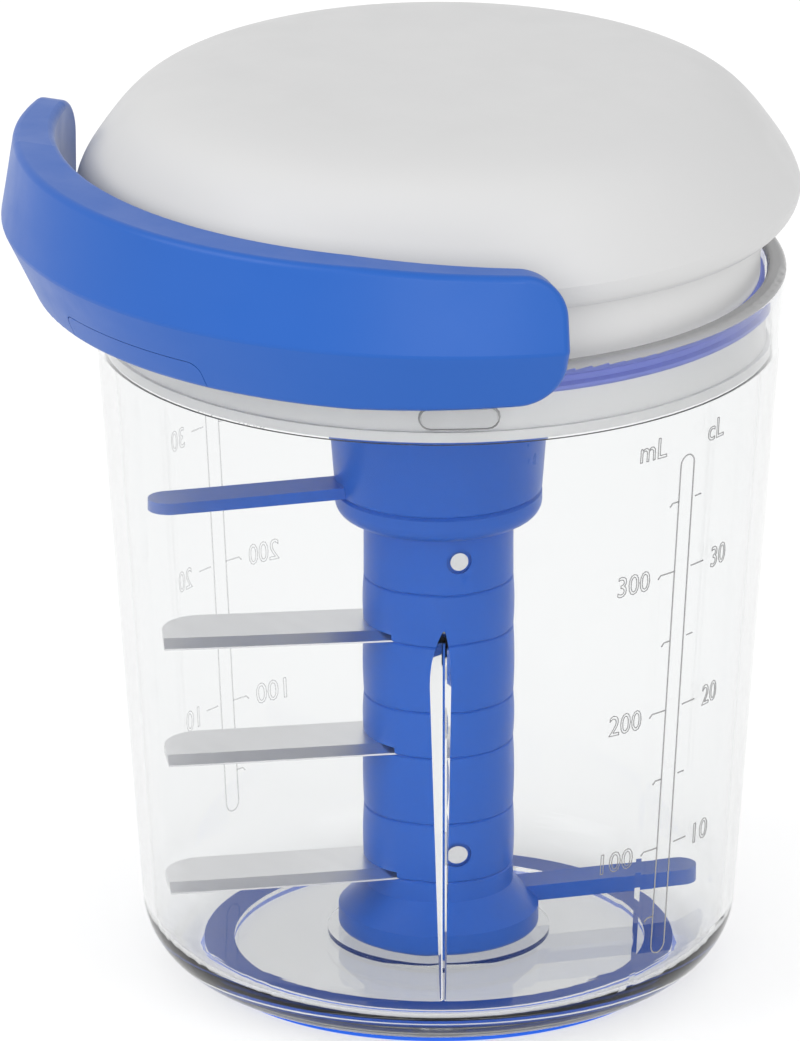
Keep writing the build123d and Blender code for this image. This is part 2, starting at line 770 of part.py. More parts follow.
with BuildPart() as lid_cover:
    with BuildSketch(Plane.XZ):
        with BuildLine():
            foot = Line((cover_bore, brim_z), (brim_lip_radius, brim_z))
            brim = ThreePointArc(
                foot @ 1,
                ((brim_lip_radius + brim_radius) / 2 + brim_bulge, (brim_z + brim_widest_z) / 2),
                (brim_radius, brim_widest_z),
            )
            shoulder = Spline(
                brim @ 1,
                (shoulder_radius, shoulder_z),
                (crown_radius, crown_z),
                tangents=(brim_way, crown_way),
            )
            dome = Spline(
                shoulder @ 1,
                (crown_radius / 2, top_z - dome_drop),
                (0, top_z),
                tangents=(crown_way, (-1.0, 0.0)),
            )
            Polyline(
                dome @ 1,
                (0, inner_top_z),
                (crown_radius - 2 * cover_thickness, crown_z - cover_thickness),
                (shoulder_radius - cover_thickness, shoulder_z - cover_thickness),
                (cover_bore, brim_widest_z),
                foot @ 0,
            )
        make_face()
    revolve(axis=Axis.Z)
    with PolarLocations(post_circle_radius, post_count, start_angle=post_first_angle):
        with Locations((0, 0, post_joint_z)):
            Cylinder(
                post_radius,
                crown_z - post_joint_z,
                align=(Align.CENTER, Align.CENTER, Align.MIN),
            )
            Cylinder(
                screw_radius,
                screw_length,
                align=(Align.CENTER, Align.CENTER, Align.MIN),
                mode=Mode.SUBTRACT,
            )
    with BuildSketch(Plane.XY.offset(top_bush_z)):
        Circle(cover_boss_radius)
    extrude(amount=inner_top_z + cover_thickness / 2 - top_bush_z)
    with BuildSketch(Plane.XY.offset(top_bush_z)):
        Circle(top_bush_radius)
    extrude(amount=inner_top_z - top_bush_z, mode=Mode.SUBTRACT)
    with BuildSketch(Plane.XZ):
        with Locations((0, cord_z)):
            Circle(guide_radius)
    extrude(amount=brim_radius + free_gap, mode=Mode.SUBTRACT)
lid_cover.part.label = "lid_cover"
export_step(lid_cover.part, "parts/lid_cover.step")

with BuildPart() as lid_screws:
    with PolarLocations(post_circle_radius, post_count, start_angle=post_first_angle):
        with Locations((0, 0, neck_foot_z + free_gap)):
            Cylinder(
                screw_head_radius,
                screw_head_height,
                align=(Align.CENTER, Align.CENTER, Align.MIN),
            )
        with Locations((0, 0, neck_foot_z + free_gap + screw_head_height)):
            Cylinder(
                screw_radius,
                screw_length,
                align=(Align.CENTER, Align.CENTER, Align.MIN),
            )
lid_screws.part.label = "lid_screws"
export_step(lid_screws.part, "parts/lid_screws.step")

bush_foot_z = neck_foot_z - bush_flange_height

with BuildPart() as drive_bush:
    with BuildSketch(Plane.XY.offset(bush_foot_z)):
        Circle(bush_flange_radius)
    extrude(amount=bush_flange_height)
    with BuildSketch(Plane.XY.offset(bush_foot_z)):
        Circle(bush_radius - fit_gap)
    extrude(amount=floor_boss_z - bush_foot_z)
    with BuildSketch(Plane.XY.offset(bush_foot_z)):
        Circle(spindle_radius + running_gap)
    extrude(amount=floor_boss_z - bush_foot_z, mode=Mode.SUBTRACT)
drive_bush.part.label = "drive_bush"
export_step(drive_bush.part, "parts/drive_bush.step")

with BuildPart() as top_bush:
    with BuildSketch(Plane.XY.offset(top_bush_z)):
        Circle(top_bush_radius - fit_gap)
        Circle(spindle_end_radius + running_gap, mode=Mode.SUBTRACT)
    extrude(amount=spindle_top_z - top_bush_z)
top_bush.part.label = "top_bush"
export_step(top_bush.part, "parts/top_bush.step")

# ---- spring case, spring and its cover, all fixed in the lid ----

case_top_z = lid_floor_top + case_floor + spring_width + 2 * free_gap

with BuildPart() as spring_case:
    with BuildSketch(Plane.XY.offset(lid_floor_top)):
        Circle(case_radius)
    extrude(amount=case_top_z - lid_floor_top)
    with BuildSketch(Plane.XY.offset(lid_floor_top + case_floor)):
        Circle(case_radius - case_wall)
    extrude(amount=case_top_z, mode=Mode.SUBTRACT)
    with BuildSketch(Plane.XY.offset(lid_floor_top)):
        Circle(floor_boss_radius + fit_gap)
    extrude(amount=case_top_z, mode=Mode.SUBTRACT)
spring_case.part.label = "spring_case"
export_step(spring_case.part, "parts/spring_case.step")


def spiral_side(offset):
    """Half circles of growing radius that follow the spring's coil, moved out by an offset."""
    for turn in range(spring_turns):
        radius = spring_inner_radius + turn * spring_pitch + offset
        CenterArc((0, 0), radius, 0, 180)
        CenterArc((spring_pitch / 2, 0), radius + spring_pitch / 2, 180, 180)


with BuildPart() as recoil_spring:
    with BuildSketch(Plane.XY.offset(lid_floor_top + case_floor + free_gap)):
        with BuildLine():
            spiral_side(half_strip)
            spiral_side(-half_strip)
            Line((spring_inner_radius - half_strip, 0), (spring_inner_radius + half_strip, 0))
            Line((spring_outer_radius - half_strip, 0), (spring_outer_radius + half_strip, 0))
        make_face()
    extrude(amount=spring_width)
recoil_spring.part.label = "recoil_spring"
export_step(recoil_spring.part, "parts/recoil_spring.step")

with BuildPart() as spring_cover:
    with BuildSketch(Plane.XY.offset(case_top_z)):
        Circle(case_radius)
        Circle(arbor_radius + free_gap, mode=Mode.SUBTRACT)
    extrude(amount=spring_cover_thickness)
spring_cover.part.label = "spring_cover"
export_step(spring_cover.part, "parts/spring_cover.step")

guide_mouth_y = brim_radius - free_gap / 2

guide_inner_y = brim_radius - guide_inset

with BuildPart() as cord_guide:
    with BuildSketch(Plane.XZ.offset(guide_inner_y)):
        with Locations((0, cord_z)):
            Circle(guide_radius - fit_gap)
            Circle(guide_bore_radius, mode=Mode.SUBTRACT)
    extrude(amount=guide_mouth_y - guide_inner_y)
    mouth_edges = cord_guide.edges().group_by(Axis.Y)[0]
    fillet(mouth_edges.sort_by(SortBy.RADIUS)[0], radius=guide_entry_round)
cord_guide.part.label = "cord_guide"
export_step(cord_guide.part, "parts/cord_guide.step")

# =====================================================================================
# Reel, spindle and cord
# =====================================================================================

lead_corner_y = brim_radius - lead_corner_inset
lead_circle = winding_radius + free_gap + cord_radius
lead_angle = -90 - degrees(acos(lead_circle / lead_corner_y))
lead_start = turned(lead_circle, lead_angle)
lead_way = Vector(-lead_start[0], -lead_corner_y - lead_start[1], 0).normalized()

with BuildPart() as cord_lead:
    with BuildLine(Plane.XY.offset(cord_z)) as lead_path:
        FilletPolyline(
            lead_start,
            (0, -lead_corner_y),
            (0, -guide_mouth_y),
            radius=lead_bend_radius,
        )
    with BuildSketch(Plane(origin=(*lead_start, cord_z), z_dir=lead_way)):
        Circle(cord_radius)
    sweep(path=lead_path.wires()[0])
cord_lead.part.label = "cord_lead"
export_step(cord_lead.part, "parts/cord_lead.step")

reel_foot_z = case_top_z + spring_cover_thickness + free_gap
arbor_foot_z = floor_boss_z + free_gap

with BuildPart() as reel:
    with BuildSketch(Plane.XZ):
        with BuildLine():
            Polyline(
                (spindle_radius + fit_gap, arbor_foot_z),
                (arbor_radius, arbor_foot_z),
                (arbor_radius, reel_foot_z),
                (reel_hub_radius, reel_foot_z),
                (reel_hub_radius, groove_low - reel_flange_thickness),
                (reel_flange_radius, groove_low - reel_flange_thickness),
                (reel_flange_radius, groove_low),
                (reel_core_radius, groove_low),
                (reel_core_radius, groove_high),
                (reel_flange_radius, groove_high),
                (reel_flange_radius, reel_top_z),
                (spindle_radius + fit_gap, reel_top_z),
                close=True,
            )
        make_face()
    revolve(axis=Axis.Z)
    with BuildSketch(Plane.XY.offset(arbor_foot_z)):
        with PolarLocations(reel_window_circle, reel_window_count):
            Circle(reel_window_radius)
    extrude(amount=reel_top_z - arbor_foot_z, mode=Mode.SUBTRACT)
reel.part.label = "reel"
export_step(reel.part, "parts/reel.step")

with BuildPart() as cord_winding:
    with BuildSketch(Plane.XY.offset(cord_z - winding_width / 2)):
        Circle(winding_radius)
        Circle(reel_core_radius, mode=Mode.SUBTRACT)
    extrude(amount=winding_width)
cord_winding.part.label = "cord_winding"
export_step(cord_winding.part, "parts/cord_winding.step")

with BuildPart() as drive_spindle:
    with BuildSketch(Plane.XY.offset(spindle_foot_z)):
        Circle(spindle_radius)
    extrude(amount=spindle_shoulder_z - spindle_foot_z)
    with BuildSketch(Plane.XY.offset(spindle_shoulder_z)):
        Circle(spindle_end_radius)
    extrude(amount=spindle_top_z - spindle_shoulder_z)
    with BuildSketch(Plane.XY.offset(clip_z)):
        Circle(spindle_radius)
        Circle(clip_groove_radius, mode=Mode.SUBTRACT)
    extrude(amount=clip_thickness, mode=Mode.SUBTRACT)
drive_spindle.part.label = "drive_spindle"
export_step(drive_spindle.part, "parts/drive_spindle.step")

with BuildPart() as retaining_clip:
    with BuildSketch(Plane.XY.offset(clip_z)):
        Circle(clip_radius)
        Circle(clip_groove_radius + fit_gap, mode=Mode.SUBTRACT)
        with Locations((clip_radius, 0)):
            Rectangle(2 * clip_radius, clip_mouth, mode=Mode.SUBTRACT)
    extrude(amount=clip_thickness)
retaining_clip.part.label = "retaining_clip"
export_step(retaining_clip.part, "parts/retaining_clip.step")

dog_top_z = bush_foot_z - free_gap
drive_circle = drive_flats / 2 / cos(pi / 6)

with BuildPart() as drive_dog:
    with BuildSketch(Plane.XY.offset(dog_bottom_z)):
        RegularPolygon(drive_circle, 6)
    extrude(amount=dog_top_z - dog_bottom_z)
    with BuildSketch(Plane.XY.offset(dog_top_z - dog_flange_height)):
        Circle(dog_flange_radius)
    extrude(amount=dog_flange_height)
    with BuildSketch(Plane.XY.offset(spindle_foot_z)):
        Circle(spindle_radius)
    extrude(amount=dog_top_z - spindle_foot_z, mode=Mode.SUBTRACT)
drive_dog.part.label = "drive_dog"
export_step(drive_dog.part, "parts/drive_dog.step")

# =====================================================================================
# Handle
# =====================================================================================

far = 4 * handle_outer_arc
end_cos = cos(radians(handle_half_angle))
end_sin = sin(radians(handle_half_angle))
outer_centre = (0, handle_outer_shift, 0)

with BuildPart() as handle_blank:
    # outer faces, turned about their own centre
    with BuildSketch(Plane(outer_centre, x_dir=(1, 0, 0), z_dir=(0, -1, 0))):
        with BuildLine():
            Polyline(
                (handle_outer_arc / 2, handle_bottom_z),
                (handle_outer_arc - handle_bottom_inset, handle_bottom_z),
                (handle_outer_arc, handle_crease_z),
                (handle_outer_arc - handle_top_inset, handle_top_z),
                (handle_outer_arc / 2, handle_top_z),
                close=True,
            )
        make_face()
    revolve(axis=Axis(outer_centre, (0, 0, 1)))
    # plan: only the front sector outside the inner face stays
    with BuildSketch(Plane.XY):
        Polygon(
            (0, 0),
            (-far * end_sin, -far * end_cos),
            (0, -2 * far),
            (far * end_sin, -far * end_cos),
            align=None,
        )
        with Locations((0, handle_inner_shift)):
            Circle(handle_inner_arc, mode=Mode.SUBTRACT)
    extrude(amount=2 * top_z, mode=Mode.INTERSECT)
    # both ends taper and have rounded corners, seen along the radius
    for side in (-1, 1):
        end_out = Vector(side * end_sin, -end_cos, 0)
        end_in = Vector(-side * end_cos, -end_sin, 0)
        end_plane = Plane(origin=end_out * handle_outer_arc, x_dir=end_in, z_dir=end_out)
        up = end_plane.y_dir.Z
        with BuildSketch(end_plane):
            with Locations((0, up * handle_crease_z)):
                Rectangle(2 * handle_end_taper, handle_outer_arc)
            with BuildLine():
                FilletPolyline(
                    (handle_end_taper, up * handle_bottom_z),
                    (0, up * handle_bottom_end_z),
                    (0, up * handle_top_end_z),
                    (handle_end_taper, up * handle_top_z),
                    radius=handle_end_round,
                )
                Line(
                    (handle_end_taper, up * handle_top_z),
                    (handle_end_taper, up * handle_bottom_z),
                )
            make_face(mode=Mode.SUBTRACT)
        extrude(amount=handle_outer_arc / 2, both=True, mode=Mode.SUBTRACT)
    fillet(handle_blank.edges(), radius=handle_edge_round)


def anchor_window(gap):
    """Outline of the cord anchor's cover in the handle, seen from the front."""
    window_height = 2 * (anchor_z + gap - handle_bottom_z)
    with Locations((0, handle_bottom_z)):
        RectangleRounded(2 * (anchor_half_width + gap), window_height, anchor_corner)


peg_y = -inner_face_y - peg_inset
peg_places = ((-peg_offset, peg_y), (peg_offset, peg_y))

with BuildPart() as handle_grip:
    add(handle_blank.part)
    with BuildSketch(Plane.XZ):
        anchor_window(parting_gap)
    extrude(amount=far, mode=Mode.SUBTRACT)
    # pocket for the cord's end, open towards the cover
    with BuildSketch(Plane.XY.offset(anchor_z)):
        with Locations((0, -pocket_front_y - pocket_depth / 2)):
            Rectangle(2 * pocket_half_width, pocket_depth)
    extrude(amount=pocket_top_z - anchor_z, mode=Mode.SUBTRACT)
    with BuildSketch(Plane.XZ):
        with Locations((0, cord_z)):
            Circle(guide_bore_radius)
    extrude(amount=pocket_front_y + fit_gap, mode=Mode.SUBTRACT)
    with BuildSketch(Plane.XY.offset(anchor_z)):
        with Locations(*peg_places):
            Circle(peg_radius + fit_gap)
    extrude(amount=peg_height + free_gap, mode=Mode.SUBTRACT)
handle_grip.part.label = "handle_grip"
export_step(handle_grip.part, "parts/handle_grip.step")

with BuildPart() as anchor_cover:
    add(handle_blank.part)
    with BuildSketch(Plane.XZ):
        anchor_window(0)
    extrude(amount=far, mode=Mode.INTERSECT)
    with BuildSketch(Plane.XY.offset(anchor_z)):
        with Locations(*peg_places):
            Circle(peg_radius)
    extrude(amount=peg_height)
anchor_cover.part.label = "anchor_cover"
export_step(anchor_cover.part, "parts/anchor_cover.step")

with BuildPart() as cord_ferrule:
    with BuildSketch(Plane.XZ.offset(pocket_front_y)):
        with Locations((0, cord_z)):
            Circle(ferrule_radius)
            Circle(cord_radius, mode=Mode.SUBTRACT)
    extrude(amount=ferrule_length)
cord_ferrule.part.label = "cord_ferrule"
export_step(cord_ferrule.part, "parts/cord_ferrule.step")

with BuildPart() as pull_cord:
    with BuildSketch(Plane.XZ.offset(guide_mouth_y + parting_gap)):
        with Locations((0, cord_z)):
            Circle(cord_radius)
    extrude(amount=pocket_front_y + ferrule_length - guide_mouth_y - parting_gap)
pull_cord.part.label = "pull_cord"
export_step(pull_cord.part, "parts/pull_cord.step")
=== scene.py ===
"""Looks of a pull-cord food chopper: materials, capacity marks, paid-out cord, light, camera."""
import json
from math import cos, pi, radians, sin

import bpy
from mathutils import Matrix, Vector


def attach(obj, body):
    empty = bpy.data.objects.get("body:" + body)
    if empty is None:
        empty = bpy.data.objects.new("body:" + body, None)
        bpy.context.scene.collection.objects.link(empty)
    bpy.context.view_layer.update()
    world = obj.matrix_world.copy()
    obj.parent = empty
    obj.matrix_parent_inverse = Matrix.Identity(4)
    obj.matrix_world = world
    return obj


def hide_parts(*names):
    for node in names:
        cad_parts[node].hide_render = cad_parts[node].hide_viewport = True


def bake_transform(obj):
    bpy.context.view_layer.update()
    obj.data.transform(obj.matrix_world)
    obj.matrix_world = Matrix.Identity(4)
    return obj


MM = 0.001

WHITE_LIGHT = (1, 1, 1, 1)

# camera: a long lens at the photograph's angle
CAMERA_AIM = Vector((0, 0, 60 * MM))
CAMERA_DISTANCE = 1.970
CAMERA_HEADING = -41.0      # degrees from +X, seen from above
CAMERA_RISE = 19.73
CAMERA_LENS = 500.7
CAMERA_SENSOR = 36.0
CAMERA_FAR = 50.0
CAMERA_SHIFT = (-0.0370, 0.0226)

# floor: a pale sheet just under the object
FLOOR_HALF = 3.0
FLOOR_DROP = 0.05 * MM

# capacity marks: one scale on the right of the bowl, one opposite; lengths run along the wall
SCALE_ANGLES = (5.6, 185.6)
MARK_RADIUS = 0.11 * MM     # half the thickness of a raised line
DIGIT_LINE = 0.075 * MM
LONGEST_STEP = 2.5 * MM     # a line along the wall has a point at least this often
ALMOST_ONE = 0.999          # rounds a count of steps up
HALF_ROUND_STEPS = 8        # straight steps in half a turn of a line's round end
FRAME_LOW = 11.3 * MM
FRAME_HIGH = 84.0 * MM
FRAME_HALF_WIDTH = 1.3 * MM
FIFTY_Z = 17.0 * MM         # height of the 50 mL mark
FIFTY_STEP = 10.09 * MM     # rise for each further 50 mL
LEFT_LONG, LEFT_SHORT = 3.0 * MM, 1.6 * MM
RIGHT_LONG, RIGHT_SHORT = 2.6 * MM, 1.2 * MM
RIGHT_GAP = 0.7 * MM
TICK_HOOK = 0.45 * MM
DIGIT_HEIGHT = 2.9 * MM
DIGIT_WIDTH = 1.75 * MM
DIGIT_DROP = 0.2 * MM       # middle of the figures below their mark
UNIT_HEIGHT = 2.9 * MM
ML_PLACE, CL_PLACE = -8.4 * MM, 8.3 * MM      # middle of the figures, from the frame's axis
ML_UNIT, CL_UNIT = (-6.4 * MM, 4.5 * MM), (5.8 * MM, 3.5 * MM)     # middle and width
UNIT_Z = 86.2 * MM

# outer wall of the bowl, a cone between the underside and the rim
WALL_LOW_Z = 0.6 * MM
WALL_LOW_RADIUS = 39.9 * MM
WALL_HIGH_Z = 101.0 * MM
WALL_HIGH_RADIUS = 47.1 * MM

# groove of the foot ring in the underside of the bowl
RING_INNER = 27.9 * MM
RING_OUTER = 32.2 * MM
RING_TOP = 2.3 * MM
RING_TOP_SPAN = 0.3 * MM    # the faces of the groove's roof lie within this height

RIM_SHADE_BAND = 0.85 * MM        # height of the band at the top of the bowl that is painted grey and rough, a painted shade

# outline of the lozenge pads under the bowl's rim
PAD_ANGLES = (-37.6, 142.4)
PAD_Z = 94.4 * MM
PAD_FOOT = (10.8 * MM, 3.3 * MM, 0.0)      # length, height and how far it stands off the wall
PAD_FACE = (10.55 * MM, 3.05 * MM, 0.5 * MM)
PAD_LINE = 0.10 * MM

# paid-out cord between the guide in the lid and the ferrule in the handle
CORD_RADIUS = 0.9 * MM
CORD_Z = 112.5 * MM
CORD_START_Y = -48.75 * MM
CORD_END_Y = -54.4 * MM
CORD_LEAVES_LID_Y = -48.9 * MM
CORD_MEETS_HANDLE_Y = -49.6 * MM
CORD_SIDES = 20

# inside of the clear plastic: what a thick stretch of it fades to, and how fast, per metre
DEPTH_COLOUR = (0.44, 0.45, 0.46)
DEPTH_DENSITY = 36


# ---------------------------------------------------------------------------------------
# Node helpers
# ---------------------------------------------------------------------------------------

class Shader:
    """A material being built, with short calls for the nodes that this scene uses."""

    def __init__(self, name):
        self.material = bpy.data.materials.new(name)
        self.material.use_nodes = True
        self.tree = self.material.node_tree
        self.surface = self.tree.nodes["Principled BSDF"]
        self.place = self.add("ShaderNodeTexCoord").outputs["Object"]

    def add(self, kind, **inputs):
        """A new node with some of its inputs set."""
        node = self.tree.nodes.new(kind)
        for name, value in inputs.items():
            node.inputs[name.replace("_", " ")].default_value = value
        return node

    def link(self, source, target):
        self.tree.links.new(source, target)

    def set(self, **inputs):
        """Sets inputs of the surface itself."""
        for name, value in inputs.items():
            self.surface.inputs[name.replace("_", " ")].default_value = value

    def stretched(self, scale):
        """Object coordinates scaled along each axis."""
        mapping = self.add("ShaderNodeMapping")
        mapping.inputs["Scale"].default_value = scale
        self.link(self.place, mapping.inputs["Vector"])
        return mapping.outputs["Vector"]

    def noise(self, scale, detail=4.0, vector=None):
        """A noise over the surface, mostly between 0.3 and 0.7."""
        node = self.add("ShaderNodeTexNoise", Scale=scale, Detail=detail, Roughness=0.55)
        self.link(vector or self.place, node.inputs["Vector"])
        return node.outputs["Fac"]

    def remap(self, value, low, high, from_low=0.3, from_high=0.7):
        """A value stretched from one range to another, and held at its ends."""
        node = self.add("ShaderNodeMapRange")
        node.inputs["From Min"].default_value = from_low
        node.inputs["From Max"].default_value = from_high
        node.inputs["To Min"].default_value = low
        node.inputs["To Max"].default_value = high
        self.link(value, node.inputs["Value"])
        return node.outputs["Result"]

    def blend_colours(self, fac, first, second):
        """The first colour where fac is 0, the second where it is 1."""
        node = self.add("ShaderNodeMix")
        node.data_type = "RGBA"
        node.inputs["A"].default_value = (*first, 1)
        node.inputs["B"].default_value = (*second, 1)
        self.link(fac, node.inputs["Factor"])
        return node.outputs["Result"]

    def bump(self, height, strength, distance):
        """Fine relief of the surface."""
        node = self.add("ShaderNodeBump", Strength=strength, Distance=distance)
        self.link(height, node.inputs["Height"])
        self.link(node.outputs["Normal"], self.surface.inputs["Normal"])


def moulded_plastic(name, colour, deep_colour, roughness, grain=0.05, coat=0.15, cover=1.0):
    """Injection-moulded plastic: slight colour drift, fine grain and smudges."""
    shader = Shader(name)
    drift = shader.noise(35.0, detail=3.0)
    base = shader.blend_colours(shader.remap(drift, 0.0, 1.0), colour, deep_colour)
    shader.link(base, shader.surface.inputs["Base Color"])
    smudges = shader.noise(120.0, detail=5.0)
    shader.link(
        shader.remap(smudges, roughness - 0.05, roughness + 0.06),
        shader.surface.inputs["Roughness"],
    )
    shader.bump(shader.noise(2600.0, detail=2.0), grain, 0.05 * MM)
    shader.set(Specular_IOR_Level=0.3, Coat_Weight=coat, Coat_Roughness=0.12, Alpha=cover)
    return shader.material


def shaded_white(name, upper, lower, edge_z):
    """The lid's white plastic for its base, with painted light: its foot, which stands in the
    bowl's shade, is painted lighter to make up for that shade.
    """
    shader = Shader(name)
    axes = shader.add("ShaderNodeSeparateXYZ")
    shader.link(shader.place, axes.inputs["Vector"])
    # painted light: the colour turns lighter below the bowl's rim, where the foot stands in the
    # bowl's shade
    foot = shader.remap(axes.outputs["Z"], 1.0, 0.0, edge_z - 2 * MM, edge_z)
    base = shader.blend_colours(foot, (upper, upper, upper), (lower, lower, lower))
    shader.link(base, shader.surface.inputs["Base Color"])
    shader.link(shader.remap(shader.noise(120.0), 0.34, 0.44), shader.surface.inputs["Roughness"])
    shader.bump(shader.noise(2600.0, detail=2.0), 0.05, 0.05 * MM)
    shader.set(Specular_IOR_Level=0.3)
    return shader.material


def clear_plastic(name, tint, roughness_low=0.0, roughness_high=0.02, ior=1.40, clear=1.0):
    """Clear plastic: faint handling marks, and a grey tone that deepens with thickness."""
    shader = Shader(name)
    shader.set(Base_Color=(*tint, 1), IOR=ior, Transmission_Weight=clear)
    shader.set(Specular_Tint=(0.35, 0.35, 0.36, 1), Specular_IOR_Level=0.15)
    body = shader.add("ShaderNodeVolumeAbsorption", Density=DEPTH_DENSITY)
    body.inputs["Color"].default_value = (*DEPTH_COLOUR, 1)
    shader.link(body.outputs["Volume"], shader.tree.nodes["Material Output"].inputs["Volume"])
    marks = shader.noise(60.0, detail=6.0)
    shader.link(
        shader.remap(marks, roughness_low, roughness_high, 0.45, 0.75),
        shader.surface.inputs["Roughness"],
    )
    return shader.material


def rubber(name, colour, deep_colour, roughness, painted_glow=0.0):
    """Soft moulded rubber with a dusty, fine-grained surface; it can also be given a painted glow
    in its own colour.
    """
    shader = Shader(name)
    dust = shader.noise(300.0, detail=4.0)
    base = shader.blend_colours(shader.remap(dust, 0.0, 1.0), colour, deep_colour)
    shader.link(base, shader.surface.inputs["Base Color"])
    shader.link(
        shader.remap(dust, roughness, roughness + 0.12),
        shader.surface.inputs["Roughness"],
    )
    shader.bump(shader.noise(3500.0, detail=2.0), 0.12, 0.05 * MM)
    # painted light: emission in the rubber's own colour, so the part glows though it is no lamp
    shader.set(Emission_Color=(*colour, 1), Emission_Strength=painted_glow)
    return shader.material


def ground_steel(name, colour, roughness, grain_scale, grain=0.06, spread=0.07):
    """Steel with fine grinding lines along one direction."""
    shader = Shader(name)
    lines = shader.noise(1.0, detail=6.0, vector=shader.stretched(grain_scale))
    tone = shader.blend_colours(
        shader.remap(lines, 0.0, 1.0), colour, tuple((1 - spread) * c for c in colour)
    )
    shader.link(tone, shader.surface.inputs["Base Color"])
    shader.link(
        shader.remap(lines, roughness - spread, roughness + spread),
        shader.surface.inputs["Roughness"],
    )
    shader.bump(lines, grain, 0.02 * MM)
    shader.set(Metallic=1.0)
    return shader.material


def braided_cord(name, colour, deep_colour):
    """Braided cord: crossing diagonal strands."""
    shader = Shader(name)
    strands = shader.add("ShaderNodeTexWave", Scale=900.0, Distortion=1.5, Detail=1.0)
    strands.wave_type = "BANDS"
    strands.bands_direction = "DIAGONAL"
    shader.link(shader.place, strands.inputs["Vector"])
    base = shader.blend_colours(strands.outputs["Fac"], colour, deep_colour)
    shader.link(base, shader.surface.inputs["Base Color"])
    shader.bump(strands.outputs["Fac"], 0.5, 0.15 * MM)
    shader.set(Roughness=0.8, Sheen_Weight=0.3)
    return shader.material


# ---------------------------------------------------------------------------------------
# Camera, floor and light
# ---------------------------------------------------------------------------------------

def make_camera():
    """The camera, aimed by its shift as well as by its direction."""
    rise = radians(CAMERA_RISE)
    heading = radians(CAMERA_HEADING)
    back = Vector((cos(rise) * cos(heading), cos(rise) * sin(heading), sin(rise)))
    data = bpy.data.cameras.new("camera")
    data.lens = CAMERA_LENS
    data.sensor_width = CAMERA_SENSOR
    data.shift_x, data.shift_y = CAMERA_SHIFT
    data.clip_end = CAMERA_FAR
    camera = bpy.data.objects.new("camera", data)
    camera.location = CAMERA_AIM + CAMERA_DISTANCE * back
    camera.rotation_euler = (-back).to_track_quat("-Z", "Y").to_euler()
    bpy.context.scene.collection.objects.link(camera)
    bpy.context.scene.camera = camera


def make_light(name, heading, rise, distance, size, power):
    """A soft rectangular light that faces the object."""
    out = Vector((
        cos(radians(rise)) * cos(radians(heading)),
        cos(radians(rise)) * sin(radians(heading)),
        sin(radians(rise)),
    ))
    data = bpy.data.lights.new(name, "AREA")
    data.shape = "RECTANGLE"
    data.size, data.size_y = size
    data.energy = power
    light = bpy.data.objects.new(name, data)
    light.location = CAMERA_AIM + distance * out
    light.rotation_euler = (-out).to_track_quat("-Z", "Y").to_euler()
    bpy.context.scene.collection.objects.link(light)


def make_floor():
    """A plain floor, lit in part by itself, so that shade on it stays soft."""
    corners = [(FLOOR_HALF * x, FLOOR_HALF * y, 0) for x, y in ((-1, -1), (1, -1), (1, 1), (-1, 1))]
    mesh = bpy.data.meshes.new("floor")
    mesh.from_pydata(corners, [], [tuple(range(len(corners)))])
    floor = bpy.data.objects.new("floor", mesh)
    floor.location.z = -FLOOR_DROP
    bpy.context.scene.collection.objects.link(floor)
    shader = Shader("floor_paper")
    shader.set(Base_Color=(0.42, 0.42, 0.42, 1), Roughness=0.9, Specular_IOR_Level=0.1)
    shader.set(Emission_Color=WHITE_LIGHT, Emission_Strength=0.57)
    mesh.materials.append(shader.material)


def make_world():
    """An even white surround."""
    world = bpy.data.worlds.new("studio")
    world.use_nodes = True
    background = world.node_tree.nodes["Background"]
    background.inputs["Color"].default_value = WHITE_LIGHT
    background.inputs["Strength"].default_value = 1.0
    bpy.context.scene.world = world


make_camera()
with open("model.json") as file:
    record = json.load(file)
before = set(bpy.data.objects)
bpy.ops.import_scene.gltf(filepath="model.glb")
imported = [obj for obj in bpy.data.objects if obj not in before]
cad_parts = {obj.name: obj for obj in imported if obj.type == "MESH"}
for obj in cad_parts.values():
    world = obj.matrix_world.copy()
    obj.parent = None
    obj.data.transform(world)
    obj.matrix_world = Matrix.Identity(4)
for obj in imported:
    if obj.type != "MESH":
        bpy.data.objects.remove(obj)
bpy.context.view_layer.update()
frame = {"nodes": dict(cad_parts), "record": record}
nodes = frame["nodes"]

make_world()
make_floor()
make_light("key", heading=-105, rise=32, distance=1.1, size=(0.7, 0.7), power=4.2)
make_light("fill", heading=0, rise=35, distance=1.3, size=(0.6, 0.9), power=3.0)
make_light("front", heading=CAMERA_HEADING, rise=14, distance=1.2, size=(0.8, 0.5), power=4.0)

bpy.context.scene.view_settings.view_transform = "Standard"

# ---------------------------------------------------------------------------------------
# Materials on the frame's own parts
# ---------------------------------------------------------------------------------------

CLEAR = clear_plastic("clear_bowl", (0.97, 0.975, 0.975))
# painted shade: grey tint, rough surface and half the clearness give the clear rim a grey tone
CLEAR_RIM_PAINTED_SHADE = clear_plastic("clear_rim_painted_shade", (0.60, 0.60, 0.605), 0.12, 0.22, clear=0.5)
CLEAR_BONDED = clear_plastic("clear_bonded", (1.0, 1.0, 1.0), ior=1.003)
WHITE = moulded_plastic("white_lid", (0.495, 0.495, 0.495), (0.488, 0.488, 0.49), 0.38, coat=0.05)
# painted light: the lid's base is a lighter white than the lid, and lighter still at its foot
# inside the bowl
NECK_WHITE_PAINTED_LIGHT = shaded_white("white_neck_painted_light", 0.56, 0.84, WALL_HIGH_Z)
HANDLE_BLUE = moulded_plastic(
    "handle_blue", (0.008, 0.082, 0.36), (0.007, 0.078, 0.345), 0.36, coat=0.0
)
STACK_BLUE = moulded_plastic(
    "stack_blue", (0.014, 0.120, 0.57), (0.012, 0.112, 0.54), 0.32, coat=0.0
)
